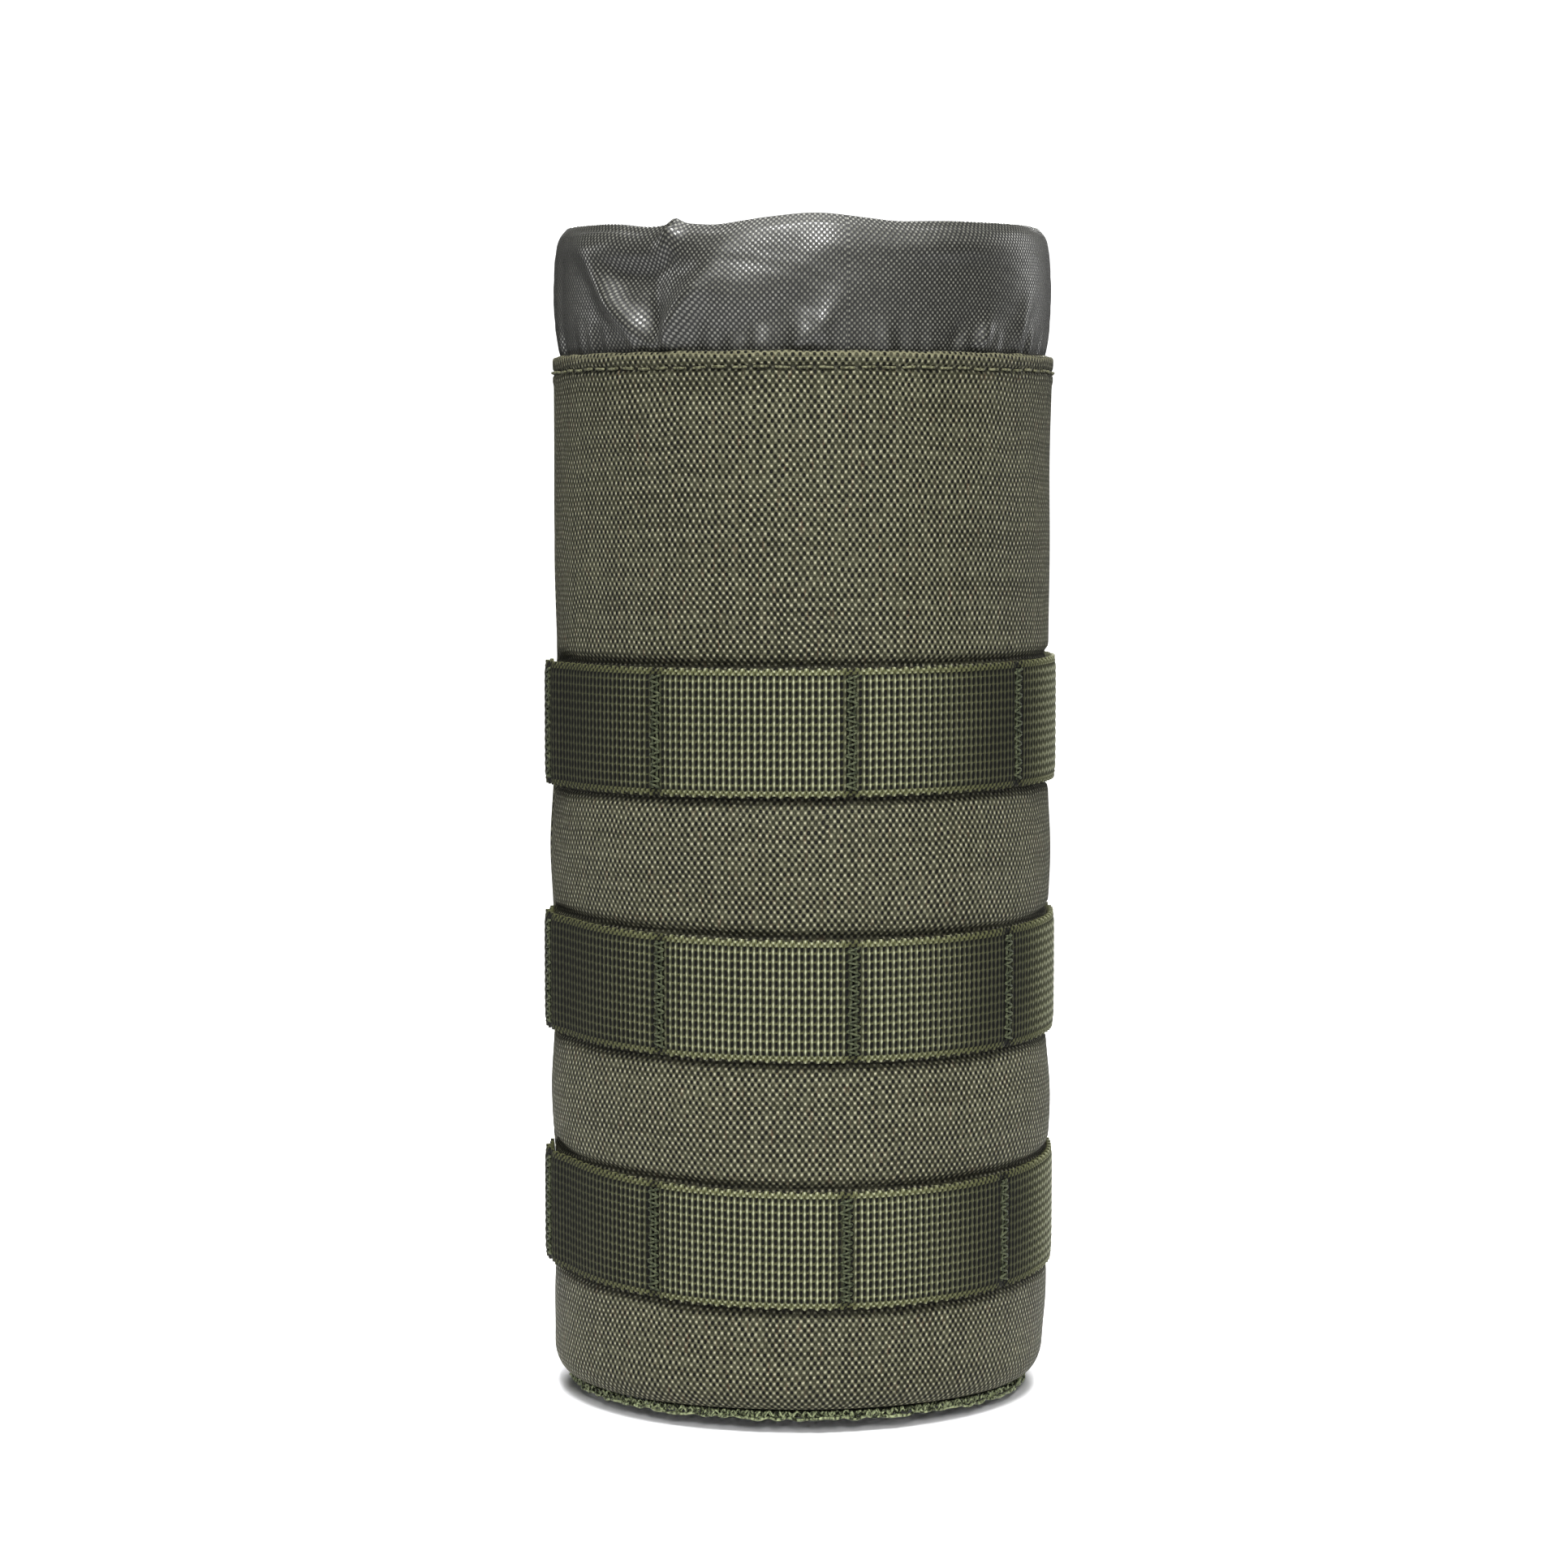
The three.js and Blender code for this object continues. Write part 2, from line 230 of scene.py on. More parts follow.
def thicken(piece, wall):
    """Gives a sheet its wall, growing inwards from the side that its faces look out of."""
    solidify = piece.modifiers.new("wall", "SOLIDIFY")
    solidify.thickness = wall * MM
    solidify.offset = -1
    solidify.use_even_offset = True
    return piece


def round_sheet(name, line, points, reach, material, wall):
    """A closed sheet of points, carried round from an outline and measured round at a reach."""
    u = np.radians(np.linspace(0, 360, points.shape[1] + 1))[None] * reach + 0 * line[:, :1]
    v = run_length(line)[:, None] + 0 * u
    return thicken(grid_piece(name, points, u, v, material, wrap_u=True), wall)


def turned_piece(name, profile, angle, height, material, count=40):
    """A small part turned about an axis that points out of the pouch: a profile of radius and
    distance from the pouch's centre line, carried round that axis."""
    profile = smooth_corners(np.array(profile, float))
    turn = np.arange(count) / count * TAU
    radius, distance = profile[:, 0][:, None], profile[:, 1][:, None]
    across, up = radius * np.cos(turn), radius * np.sin(turn) + height
    local = np.stack(np.broadcast_arrays(across, up, distance), -1)
    faces, _ = grid_faces(len(profile), count, True, False)
    piece = add_piece(name, local @ axes_at(angle), faces.tolist(), material)
    return turn_faces_out(piece, merge=True)


def smooth_corners(profile, share=0.25):
    """Cuts each inner corner of a profile once, a share of the way along both of its sides."""
    before = profile[1:-1] + (profile[:-2] - profile[1:-1]) * share
    after = profile[1:-1] + (profile[2:] - profile[1:-1]) * share
    cut = np.stack([before, after], 1).reshape(-1, 2)
    return np.concatenate([profile[:1], cut, profile[-1:]])


# Materials


class Recipe:
    """Writes a material's nodes: each call adds one node and gives back its output."""

    def __init__(self, name):
        self.material = bpy.data.materials.new(name)
        self.material.use_nodes = True
        self.tree = self.material.node_tree
        self.shader = self.tree.nodes["Principled BSDF"]

    def put(self, socket, value):
        if isinstance(value, bpy.types.NodeSocket):
            self.tree.links.new(value, socket)
        else:
            socket.default_value = value

    def math(self, operation, *values):
        node = self.tree.nodes.new("ShaderNodeMath")
        node.operation = operation
        for socket, value in zip(node.inputs, values):
            self.put(socket, value)
        return node.outputs[0]

    def cloth_uv(self):
        node = self.tree.nodes.new("ShaderNodeUVMap")
        node.uv_map = "cloth"
        split = self.tree.nodes.new("ShaderNodeSeparateXYZ")
        self.put(split.inputs[0], node.outputs[0])
        return node.outputs[0], split.outputs[0], split.outputs[1]

    def place(self):
        return self.tree.nodes.new("ShaderNodeTexCoord").outputs["Object"]

    def attribute(self, name):
        node = self.tree.nodes.new("ShaderNodeAttribute")
        node.attribute_name = name
        return node.outputs["Fac"]

    def noise(self, vector, scale, detail=2.0, stretch=(1, 1, 1)):
        mapping = self.tree.nodes.new("ShaderNodeMapping")
        self.put(mapping.inputs["Vector"], vector)
        mapping.inputs["Scale"].default_value = stretch
        node = self.tree.nodes.new("ShaderNodeTexNoise")
        self.put(node.inputs["Vector"], mapping.outputs[0])
        node.inputs["Scale"].default_value = scale
        node.inputs["Detail"].default_value = detail
        return node.outputs["Fac"]

    def chance(self, a, b):
        join = self.tree.nodes.new("ShaderNodeCombineXYZ")
        self.put(join.inputs[0], a)
        self.put(join.inputs[1], b)
        node = self.tree.nodes.new("ShaderNodeTexWhiteNoise")
        self.put(node.inputs["Vector"], join.outputs[0])
        return node.outputs["Value"]

    def spread(self, value, low, high, to_low=0.0, to_high=1.0):
        node = self.tree.nodes.new("ShaderNodeMapRange")
        node.interpolation_type = "SMOOTHSTEP"
        for socket, number in zip(node.inputs[:5], (value, low, high, to_low, to_high)):
            self.put(socket, number)
        return node.outputs[0]

    def mix(self, factor, a, b):
        node = self.tree.nodes.new("ShaderNodeMix")
        node.data_type = "RGBA"
        self.put(node.inputs[0], factor)
        self.put(node.inputs[6], a)
        self.put(node.inputs[7], b)
        return node.outputs[2]

    def bump(self, height, distance, strength=1.0, under=None):
        node = self.tree.nodes.new("ShaderNodeBump")
        node.inputs["Strength"].default_value = strength
        node.inputs["Distance"].default_value = distance
        self.put(node.inputs["Height"], height)
        if under is not None:
            self.put(node.inputs["Normal"], under)
        return node.outputs[0]

    def finish(self, colour, roughness, normal, **sockets):
        self.put(self.shader.inputs["Base Color"], colour)
        self.put(self.shader.inputs["Roughness"], roughness)
        self.put(self.shader.inputs["Normal"], normal)
        for name, value in sockets.items():
            self.shader.inputs[name.replace("_", " ")].default_value = value
        return self.material


def rgb(red, green, blue):
    return (red, green, blue, 1)


# A weave's cells across and along the cloth, in metres
OXFORD_CELL = (0.00071, 0.00097)
COATED_CELL = (0.000575, 0.000605)


def weave(recipe, u, v, cell, waver, dash_power=1.0):
    """A plain weave: a checker of cells in which crossing yarns arch up and gaps sink down.
    Gives the depth of the gaps, the arch of the yarn on top and a chance number for each cell."""
    across = recipe.math("ADD", recipe.math("MULTIPLY", u, 1 / cell[0]), waver)
    along = recipe.math("ADD", recipe.math("MULTIPLY", v, 1 / cell[1]), waver)
    arch_u = recipe.math("SINE", recipe.math("MULTIPLY", recipe.math("FRACT", across), PI))
    arch_v = recipe.math("SINE", recipe.math("MULTIPLY", recipe.math("FRACT", along), PI))
    column, line = recipe.math("FLOOR", across), recipe.math("FLOOR", along)
    odd = recipe.math("FLOORED_MODULO", recipe.math("ADD", column, line), 2.0)
    pillow = recipe.math("MULTIPLY", arch_u, arch_v)
    gap = recipe.math("MULTIPLY", odd, recipe.spread(pillow, 0.05, 0.5))
    dash = recipe.math("MULTIPLY", arch_u, recipe.math("POWER", arch_v, dash_power))
    crown = recipe.math("MULTIPLY", recipe.math("SUBTRACT", 1.0, odd), dash)
    return gap, crown, recipe.chance(column, line)


def oxford_cloth():
    """Coarse coated oxford: gaps in a brick order and grooves painted dark as shade, crowns and the hem's
    fold painted light as highlight, mottled dye and dust.
    """
    r = Recipe("oxford_cloth")
    uv, u, v = r.cloth_uv()
    waver = r.math("MULTIPLY", r.math("SUBTRACT", r.noise(uv, 55, 3), 0.5), 2.4)
    gap, crown, luck = weave(r, u, v, OXFORD_CELL, waver, 2.2)
    patch = r.noise(uv, 35, 4)
    yarn = r.noise(uv, 900, 2, (1, 0.25, 1))
    slub = r.math("ADD", r.noise(uv, 800, 1, (1, 0.02, 1)), r.noise(uv, 600, 1, (0.02, 1, 1)))
    depth = r.math("MULTIPLY", gap, r.spread(luck, 0.0, 0.7, 0.55, 1.0))
    dye = r.mix(r.spread(patch, 0.35, 0.65), rgb(0.040, 0.040, 0.021), rgb(0.056, 0.056, 0.031))
    dye = r.mix(r.spread(yarn, 0.58, 0.75), dye, rgb(0.085, 0.060, 0.036))
    dye = r.mix(r.spread(slub, 0.8, 1.2, 0.0, 0.5), dye, rgb(0.11, 0.11, 0.07))
    # Painted highlight: the yarn crowns are painted light as glints; the same mask also makes them
    # glossier.
    glint = r.math("MULTIPLY", crown, r.spread(luck, 0.1, 0.9, 0.65, 1.05))
    lit = r.mix(glint, dye, rgb(0.36, 0.35, 0.25))
    # Painted highlight: the cloth is painted lighter over the hem's fold.
    lit = r.mix(r.math("MULTIPLY", r.attribute("fold"), 0.8), lit, rgb(0.17, 0.165, 0.105))
    # Painted shade: the weave's gaps and the shell's grooves are painted near black.
    painted_shade = r.math("MAXIMUM", depth, r.math("MULTIPLY", r.attribute("painted_groove_shade"), 0.8))
    colour = r.mix(painted_shade, lit, rgb(0.003, 0.003, 0.001))
    height = r.math("SUBTRACT", r.math("MULTIPLY", crown, 0.6), depth)
    normal = r.bump(height, 0.0004, 0.9, r.bump(r.noise(uv, 45, 3), 0.0006, 0.35))
    rough = r.math("SUBTRACT", r.spread(patch, 0.2, 0.8, 0.72, 0.8), r.math("MULTIPLY", glint, 0.36))
    return r.finish(colour, rough, normal, Specular_IOR_Level=0.3, Sheen_Weight=0.01)


def coated_cloth():
    """Thin coated cloth of the collar: a fine weave on a smooth grey ground, whose crowns glint and are
    painted light as glints, and whose gaps are painted near black as shade.
    """
    r = Recipe("coated_cloth")
    uv, u, v = r.cloth_uv()
    waver = r.math("MULTIPLY", r.math("SUBTRACT", r.noise(uv, 30, 1), 0.5), 1.5)
    gap, crown, luck = weave(r, u, v, COATED_CELL, waver)
    patch = r.noise(uv, 40, 3)
    ground = r.mix(r.spread(patch, 0.3, 0.7), rgb(0.010, 0.010, 0.008), rgb(0.016, 0.016, 0.013))
    arch = r.math("MULTIPLY", crown, r.spread(luck, 0.0, 1.0, 0.7, 1.0))
    # Painted highlight: the crowns are painted light as glints.
    lit = r.mix(r.math("MULTIPLY", arch, 0.9), ground, rgb(0.27, 0.27, 0.235))
    # Painted shade: the gaps between the yarns are painted near black.
    colour = r.mix(r.math("MULTIPLY", gap, 0.85), lit, rgb(0.003, 0.003, 0.002))
    height = r.math("SUBTRACT", r.math("MULTIPLY", crown, 0.6), gap)
    crease = r.bump(r.noise(uv, 70, 4), 0.0008, 0.2)
    normal = r.bump(height, 0.00005, 0.5, crease)
    rough = r.math("SUBTRACT", 0.58, r.math("MULTIPLY", r.math("SQRT", crown), 0.37))
    return r.finish(colour, rough, normal, Specular_IOR_Level=0.8, Sheen_Weight=0.01)


def tape_cloth():
    """Woven nylon tape: the mesh holds its relief; its holes are painted near black as shade, its crowns
    are painted light, partly as the lighter grey yarn and partly as painted glints, and the yarns carry
    fine filaments across the tape."""
    r = Recipe("webbing_tape")
    uv, u, v = r.cloth_uv()
    depth = r.attribute("depth")
    patch = r.noise(uv, 50, 3)
    filament = r.noise(uv, 2500, 2, (1, 0.3, 1))
    dull = r.mix(r.spread(patch, 0.3, 0.7), rgb(0.040, 0.042, 0.022), rgb(0.056, 0.058, 0.032))
    rib = r.mix(r.attribute("rib"), dull, rgb(0.085, 0.088, 0.040))
    # Painted highlight: the crowns are painted light, partly the yarn's lighter grey and partly painted
    # glints.
    crown = r.mix(r.spread(depth, 0.5, 0.95), rib, rgb(0.34, 0.35, 0.24))
    # Painted shade: the holes between the yarns are painted near black.
    colour = r.mix(r.spread(depth, 0.2, 0.48), rgb(0.002, 0.002, 0.001), crown)
    normal = r.bump(filament, 0.00012, 0.5)
    rough = r.spread(depth, 0.4, 1.0, 0.8, 0.36)
    return r.finish(colour, rough, normal, Specular_IOR_Level=0.3)


def sewing_thread(name, dark, light):
    """Twisted thread: slanting plies as fine stripes, a little fuzz."""
    r = Recipe(name)
    place = r.place()
    ply = r.noise(place, 1800, 2, (1, 1, 0.5))
    colour = r.mix(r.spread(ply, 0.35, 0.65), dark, light)
    normal = r.bump(ply, 0.00015, 0.6)
    rough = r.spread(ply, 0.3, 0.7, 0.5, 0.7)
    return r.finish(colour, rough, normal, Specular_IOR_Level=0.2, Sheen_Weight=0.04)


def blackened_metal():
    """Blackened brass: nearly black, with rubbed spots where the metal shows."""
    r = Recipe("blackened_metal")
    place = r.place()
    rub = r.noise(place, 400, 4)
    worn = r.spread(rub, 0.6, 0.78)
    colour = r.mix(worn, rgb(0.03, 0.03, 0.028), rgb(0.16, 0.13, 0.09))
    normal = r.bump(r.noise(place, 2200, 2), 0.00004, 0.4)
    rough = r.spread(rub, 0.3, 0.75, 0.46, 0.28)
    return r.finish(colour, rough, normal, Metallic=0.9)


OXFORD = oxford_cloth()
COATED = coated_cloth()
TAPE = tape_cloth()
TACK_THREAD = sewing_thread("bartack_thread", rgb(0.030, 0.036, 0.020), rgb(0.095, 0.105, 0.062))
STITCH_THREAD = sewing_thread("stitch_thread", rgb(0.05, 0.05, 0.028), rgb(0.19, 0.19, 0.12))
NET_YARN = sewing_thread("net_yarn", rgb(0.010, 0.013, 0.005), rgb(0.36, 0.40, 0.24))
# Painted shade: the net's own yarn, painted near black for the floor, which lies in the pouch's shade.
NET_SHADE_YARN = sewing_thread("net_floor_painted_shade", rgb(0.010, 0.012, 0.006), rgb(0.035, 0.040, 0.020))
METAL = blackened_metal()


# The shell's form

# Each row of webbing: its lower edge, its width, how far it droops in front and how far it tilts.
ROWS = {
    "bottom": {"low": 26.6, "width": 24.2, "droop": 2.1, "tilt": -0.6},
    "middle": {"low": 76.8, "width": 24.9, "droop": 1.3, "tilt": -0.4},
    "top": {"low": 130.1, "width": 26.0, "droop": 0.1, "tilt": 0.4},
}
# The side that faces the viewer: the pouch sags and folds as it is seen from there.
FACING = CAMERA_ANGLE
CLOTH_WALL = 0.9
LINING_WALL = 0.5
COLLAR_WALL = 0.4
CORNER_WIDTH = 4.0
CORNER_HEIGHT = 6.6
FOLD_RADIUS = 0.75
GROOVE_DEPTH = 1.1
STITCH_DROP = 3.3
STITCH_COUNT = 76

# How many points a panel's outline has on its corner, its side, its fold and inside the hem
CORNER_STEPS = 9
SIDE_STEPS = 240
FOLD_STEPS = 7
INSIDE_STEPS = 5


def lift(angle):
    """How high the sewn bottom edge stands: it rises where the pouch faces the viewer."""
    away = np.radians(turned_away(angle, FACING))
    return 1.8 + 1.8 * np.maximum(np.cos(away), 0) ** 1.2


def lean(height):
    """The pouch's lower half stands a little to the left."""
    return -0.5 * np.clip(1 - height / 160, 0, 1) - 0.35 * bell(height, 6, 9)


def side_radius(angle, height):
    """The shell's outer radius: pinched under the rows, bulged between them, with faint dents."""
    bulge = 0.85 * bell(height, 116, 11) + 0.95 * bell(height, 64, 11) + 0.2 * bell(height, 20, 7)
    dents = 0.22 * wander(angle / 360 + height / 700, (3, 5, 8), 1)
    dents = dents + 0.16 * wander(height / 120 + angle / 500, (2, 3), 2)
    return SHELL_RADIUS - 0.25 + bulge + dents * step(height, 12, 6)


def row_height(row, angle):
    """The height of a row's lower edge: it droops in front and tilts a little."""
    away = np.radians(turned_away(angle, FACING))
    size = ROWS[row]
    return size["low"] + size["droop"] * (1 - np.cos(away)) + size["tilt"] * np.sin(away)


def groove(angle, height):
    """How far the shell is drawn in along both edges of each sewn row."""
    depth = 0 * (angle + height)
    for row, size in ROWS.items():
        low = row_height(row, angle)
        for edge in (low - 0.4, low + size["width"] + 0.4):
            depth = depth + GROOVE_DEPTH * bell(height, edge, 1.0)
    return depth * step(-np.abs(turned_away(angle, 0)), -SEAM_ANGLE + 4, 2)


def shell_sheet(name, start, end, columns):
    """A panel of the shell: up round the bottom corner, up the side, over the hem's fold and down
    its inside. The corner is a quarter ellipse, and the fold a half circle."""
    angle = np.linspace(start, end, columns)
    corner, fold = np.linspace(0, PI / 2, CORNER_STEPS), np.linspace(0, PI, FOLD_STEPS)
    side = np.linspace(0, 1, SIDE_STEPS + 1)[1:]
    low = lift(angle)[None] + 1.6
    corner_top = low + CORNER_HEIGHT
    reach = side_radius(angle[None], corner_top)
    rounded_r = reach - CORNER_WIDTH * (1 - np.sin(corner))[:, None]
    rounded_z = corner_top - CORNER_HEIGHT * np.cos(corner)[:, None]
    wave = 0.1 * wander(angle / 360, (17, 29, 41), 3)
    top = HEM_TOP + wave[None] - FOLD_RADIUS
    side_z = corner_top + (top - corner_top) * side[:, None]
    drawn = groove(angle[None], side_z)
    drop = HEM_TOP - side_z
    sewn = bell(drop, STITCH_DROP, 0.62)
    side_r = side_radius(angle[None], side_z) - drawn
    side_r = side_r + 0.25 * step(-drop, -5.5, 0.5) - 0.55 * sewn
    fold_r = side_r[-1:] - FOLD_RADIUS * (1 - np.cos(fold))[:, None]
    fold_z = top + FOLD_RADIUS * np.sin(fold)[:, None]
    inside_z = top - np.linspace(0, HEM_HEIGHT, INSIDE_STEPS)[1:, None]
    inside_r = fold_r[-1:] + 0 * inside_z
    radius = np.concatenate([rounded_r, side_r, fold_r[1:], inside_r])
    height = np.concatenate([rounded_z, side_z, fold_z[1:], inside_z])
    seam = np.minimum(np.abs(angle - start), np.abs(angle - end))
    radius = radius - 0.7 * bell(seam, 0, 0.9)
    points = around(angle, radius, height)
    points[..., 0] += lean(points[..., 2])
    steps = np.linalg.norm(np.diff(points, axis=0), axis=-1)
    along = np.concatenate([0 * steps[:1], np.cumsum(steps, 0)])
    round_it = np.broadcast_to(np.radians(angle) * SHELL_RADIUS, along.shape)
    painted_groove_shade, painted_fold_highlight = 0 * along, 0 * along
    side_end = CORNER_STEPS + SIDE_STEPS
    # Painted shade: marks the grooves along the rows and the hem's stitch line, which the cloth paints
    # darker.
    painted_groove_shade[CORNER_STEPS:side_end] = np.clip(drawn * 0.7 + sewn * 0.9, 0, 1)
    # Painted highlight: marks the points over the hem's fold, which the cloth paints lighter.
    painted_fold_highlight[side_end - 1 : side_end + FOLD_STEPS - 3] = 1
    attributes = {"painted_groove_shade": painted_groove_shade, "fold": painted_fold_highlight}
    return thicken(grid_piece(name, points, round_it, along, OXFORD, attributes=attributes), CLOTH_WALL)


def build_shell():
    """The front and back panels, whose edges meet at the two side seams."""
    front = shell_sheet("shell_front", -SEAM_ANGLE, SEAM_ANGLE, 140)
    back = shell_sheet("shell_back", SEAM_ANGLE, 360 - SEAM_ANGLE, 130)
    widths = [math.radians(2 * a) * SHELL_RADIUS * MM for a in (SEAM_ANGLE, 180 - SEAM_ANGLE)]
    for piece, node, width in ((front, "front_panel", widths[0]), (back, "back_panel", widths[1])):
        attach(piece, "pouch")
    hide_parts("front_panel", "top_hem")
    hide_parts("back_panel")


def build_lining():
    """The lining: up round the bottom corner and up the side, just inside the shell."""
    angle = np.linspace(0, 360, 97)[:-1]
    knots = [(46.5, 4.6), (48.6, 5.6), (49.9, 8), (50.3, 12), (50.35, 60), (50.35, 140), (50.3, 210)]
    line = smooth_line(knots, 60)
    radius = line[:, :1] + 0.15 * wander(angle / 360 + line[:, 1:] / 300, (4, 7, 11), 4)
    points = around(angle, radius, line[:, 1:])
    u = np.radians(np.linspace(0, 360, 97))[None] * 50 + 0 * line[:, :1]
    v = np.linspace(0, 210, 60)[:, None] + 0 * u
    piece = thicken(grid_piece("lining_cloth", points, u, v, COATED, wrap_u=True), LINING_WALL)
    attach(piece, "pouch")
    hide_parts("lining")


def build_topstitch():
    """The hem's row of stitches: each a short bow of thread that dives into the cloth at its ends."""
    pitch = 360 / STITCH_COUNT
    share = np.linspace(-0.5, 0.5, 9)
    angle = (np.arange(STITCH_COUNT) * pitch)[:, None] + share * pitch * 0.66
    bow = 0.42 * np.sqrt(np.maximum(1 - (2 * share) ** 2, 0))
    height = HEM_TOP - STITCH_DROP + 0.12 * wander(angle / 360, (9, 31), 5)
    radius = side_radius(angle, height) - 0.12 + bow
    lines = around(angle, radius, height)
    piece = tubes_piece("hem_stitches", lines, around(angle, 1, 0), 0.27, STITCH_THREAD, 6)
    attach(piece, "pouch")
    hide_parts("hem_topstitch")


# Webbing

# The spacing of the yarns that cross the tape and of the ribs along it, its wall and its relief
PICK = 1.28
RIB = 1.78
TAPE_WALL = 1.0
RELIEF = 0.6
# How far round a front row and a back row reach from their middles, and where their tacks are
FRONT_REACH = 94.5
BACK_REACH = 45
BACK_TACKS = {"right": 138.5, "middle": 180, "left": 221.5}
TACK_ANGLES = {
    "bottom": (-84.6, -43.9, 0.1, 41.9, 84.6),
    "middle": (-84.6, -42.4, 1.4, 42.9, 84.6),
    "top": (-84.6, -43.5, 0.8, 46.2, 85.5),
}
TACK_INSET = 1.6
TACK_TURNS = 24


def tape_relief(along, across, width):
    """The woven face: picks stand up as columns across the tape, beaded once for each rib and
    shifted from one column to the next; ribs bridge them lower down, and holes lie between."""
    pick, rib = along / PICK, (across + width / 2) / width * round(width / RIB)
    shift = 0.10 * np.cos(PI * np.floor(pick + 0.5))
    column = (0.5 + 0.5 * np.cos(TAU * pick)) ** 1.1
    bead = (0.5 - 0.5 * np.cos(TAU * (rib + shift))) ** 1.3
    rib_top = (0.5 - 0.5 * np.cos(TAU * rib)) ** 2.2
    inset = width / 2 - np.abs(across)
    selvedge = step(-inset, -1.45, 0.15)
    relief = np.maximum(column * (0.72 + 0.28 * bead), 0.5 * rib_top)
    near, far = (0.5 + 0.5 * s * np.cos(TAU * pick) for s in (1, -1))
    edge = 0.12 + 0.88 * (bell(inset, 0.4, 0.42) * near**0.8 + bell(inset, 1.2, 0.4) * far**0.8)
    return relief * (1 - selvedge) + edge * selvedge, rib_top * (1 - column) * (1 - selvedge) + selvedge


def tape_piece(
    name, centre, outward, across, length, width, tacks=(), both=False, rib_steps=5, slack_and_shade=1.0
):
    """A tape along a line of centre points: its section is a thin rounded bar, closed round, with
    the woven relief on its outer face and, if asked, on its inner face too. The relief is flatter
    where the tape is held tighter; its colour follows the relief, so this also paints the tape darker there
    as shade."""
    fine = round(width / RIB) * rib_steps
    face = np.linspace(-1, 1, fine + 1)
    back = np.linspace(1, -1, fine + 1 if both else 9)
    across_at = np.concatenate([face, back]) * (width / 2 - 0.25)
    front_side = np.concatenate([np.ones(len(face)), np.zeros(len(back))])
    along = np.linspace(0, length, len(centre))
    relief, rib = tape_relief(along[:, None], across_at[None], width)
    relief = relief * np.broadcast_to(slack_and_shade, along.shape)[:, None]
    if not both:
        relief = relief * front_side
    press = sum((bell(along, at, 1.7) for at in tacks), np.zeros(len(along)))[:, None]
    edge = np.sqrt(np.clip(1 - (np.abs(across_at) / (width / 2)) ** 8, 0.02, 1))
    wall = TAPE_WALL / 2 * edge + RELIEF * relief * (1 - 0.6 * press)
    offset = np.where(front_side > 0, wall - 0.28 * press, -wall)
    selvedge = 0.22 * np.cos(TAU * along / PICK / 2)[:, None] * (np.abs(across_at) > width / 2 - 0.6)
    out_to = across_at + np.sign(across_at) * selvedge
    points = centre[:, None] + outward[:, None] * offset[..., None] + across[:, None] * out_to[..., None]
    u = np.broadcast_to(along[:, None], (len(along), len(across_at) + 1))
    v = np.broadcast_to(np.append(across_at, across_at[0]), u.shape)
    depth = np.where(front_side > 0, relief * (1 - 0.4 * press), relief if both else 0.55)
    attributes = {"depth": depth.T, "rib": np.broadcast_to(rib, depth.shape).T}
    points = points.transpose(1, 0, 2)
    piece = grid_piece(name, points, u.T, v.T, TAPE, wrap_v=True, attributes=attributes)
    columns = len(along)
    ends = [[i * columns + end for i in range(len(across_at))] for end in (0, columns - 1)]
    return turn_faces_out(piece, caps=ends)


def row_line(row, angle):
    """A front row's centre line: it hugs the pinched shell and stands proud at its left end."""
    away = turned_away(angle, FACING)
    low = row_height(row, angle)
    middle = low + ROWS[row]["width"] / 2
    radius = SHELL_RADIUS + 0.35 + 0.12 * wander(angle / 360, (6, 11), 11 + len(row))
    radius = radius + 1.5 * step(-away, 68, 3.5) - 1.7 * step(-angle, 90.5, 1.6)
    points = around(angle, radius, middle)
    points[..., 0] += lean(middle)
    return points


def row_slack_and_shade(angle):
    """How high a front row's relief stands: it is pulled flatter round both sides of the view, and as the
    tape's colour follows its relief, the rows are painted darker there as shade.
    """
    away = turned_away(angle, FACING)
    return 1 - 0.40 * step(-away, 40, 15) - 0.40 * step(away, 36, 12) + 0.36 * step(away, 64, 8)


def sew_row(name, node, angle, centre, length, width, tacks, slack_and_shade=1.0):
    """One row of webbing along its centre line, pressed down at the angles of its tacks."""
    pressed = (np.array(tacks) - angle[0]) / (angle[-1] - angle[0]) * length
    up = np.broadcast_to([0.0, 0.0, 1.0], (len(angle), 3))
    piece = tape_piece(name, centre, around(angle, 1, 0), up, length, width, pressed, slack_and_shade=slack_and_shade)
    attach(piece, "pouch")
    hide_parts(node)


def build_rows():
    """The three rows on the front, each with its five bartacks."""
    length = math.radians(2 * FRONT_REACH) * (SHELL_RADIUS + 0.6)
    angle = np.linspace(-FRONT_REACH, FRONT_REACH, round(length / PICK) * 4 + 1)
    slack_and_shade = row_slack_and_shade(angle)
    for row, size in ROWS.items():
        name, node, width, tacks = f"webbing_{row}", f"webbing_row_{row}", size["width"], TACK_ANGLES[row]
        sew_row(name, node, angle, row_line(row, angle), length, width, tacks, slack_and_shade)
        for i, tack in enumerate(tacks, 1):
            middle = row_line(row, np.array([tack]))[0]
            build_tack(f"bartack_{row}_{i}", tack, middle, width, 100 * i + len(row))


